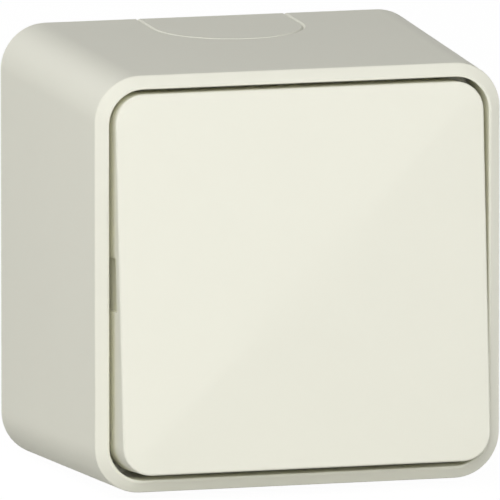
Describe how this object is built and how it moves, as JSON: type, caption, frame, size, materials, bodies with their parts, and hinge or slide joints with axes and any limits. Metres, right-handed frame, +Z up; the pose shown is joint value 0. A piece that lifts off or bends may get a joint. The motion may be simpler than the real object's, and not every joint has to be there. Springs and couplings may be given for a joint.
{
  "type": "surface mounted light switch",
  "caption": "Square surface mounted rocker light switch: deep hood with a sloped rim, one big tilting rocker, a two-way seesaw contact inside and a base plate for the wall.",
  "frame": {"origin": "centre of the back face that lies on the wall", "axes": "+Z up, -Y out of the wall towards the user, +X to the user's right"},
  "size_m": [0.067, 0.0542, 0.067],
  "materials": {
    "white_plastic": "satin gloss cream white",
    "base_plastic": "matt cream white",
    "insert_plastic": "matt light grey",
    "steel": "zinc plated",
    "brass": "stamped",
    "silver": "plain"
  },
  "bodies": {
    "root": {"hood": "white_plastic", "base": "base_plastic", "hood_screw_1": "steel", "hood_screw_2": "steel", "insert_screw_1": "steel", "insert_screw_2": "steel", "insert_body": "insert_plastic", "insert_cover": "insert_plastic", "common_contact": "brass", "upper_contact": "brass", "lower_contact": "brass", "loop_contact": "brass", "fixed_tip_upper": "silver", "fixed_tip_lower": "silver", "clamp_common": "steel", "clamp_upper": "steel", "clamp_lower": "steel", "clamp_loop": "steel", "terminal_screw_common": "steel", "terminal_screw_upper": "steel", "terminal_screw_lower": "steel", "terminal_screw_loop": "steel"},
    "rocker_body": {"rocker": "white_plastic", "rocker_carrier": "insert_plastic", "plunger": "insert_plastic", "spring": "steel"},
    "contact_body": {"contact_rocker": "brass", "moving_tip_upper": "silver", "moving_tip_lower": "silver"}
  },
  "joints": [
    {"name": "rocker_tilt", "type": "hinge", "parent": "root", "child": "rocker_body", "pos_m": [0, -0.04701, 0], "axis": [1, 0, 0], "range_deg": [0, 9.1]},
    {"name": "contact_flip", "type": "hinge", "parent": "root", "child": "contact_body", "pos_m": [0, -0.02501, 0], "axis": [1, 0, 0], "range_deg": [-15, 0]}
  ],
  "couplings": [
    {"joint": "contact_flip", "follows": "rocker_tilt", "ratio": -1.6484}
  ]
}
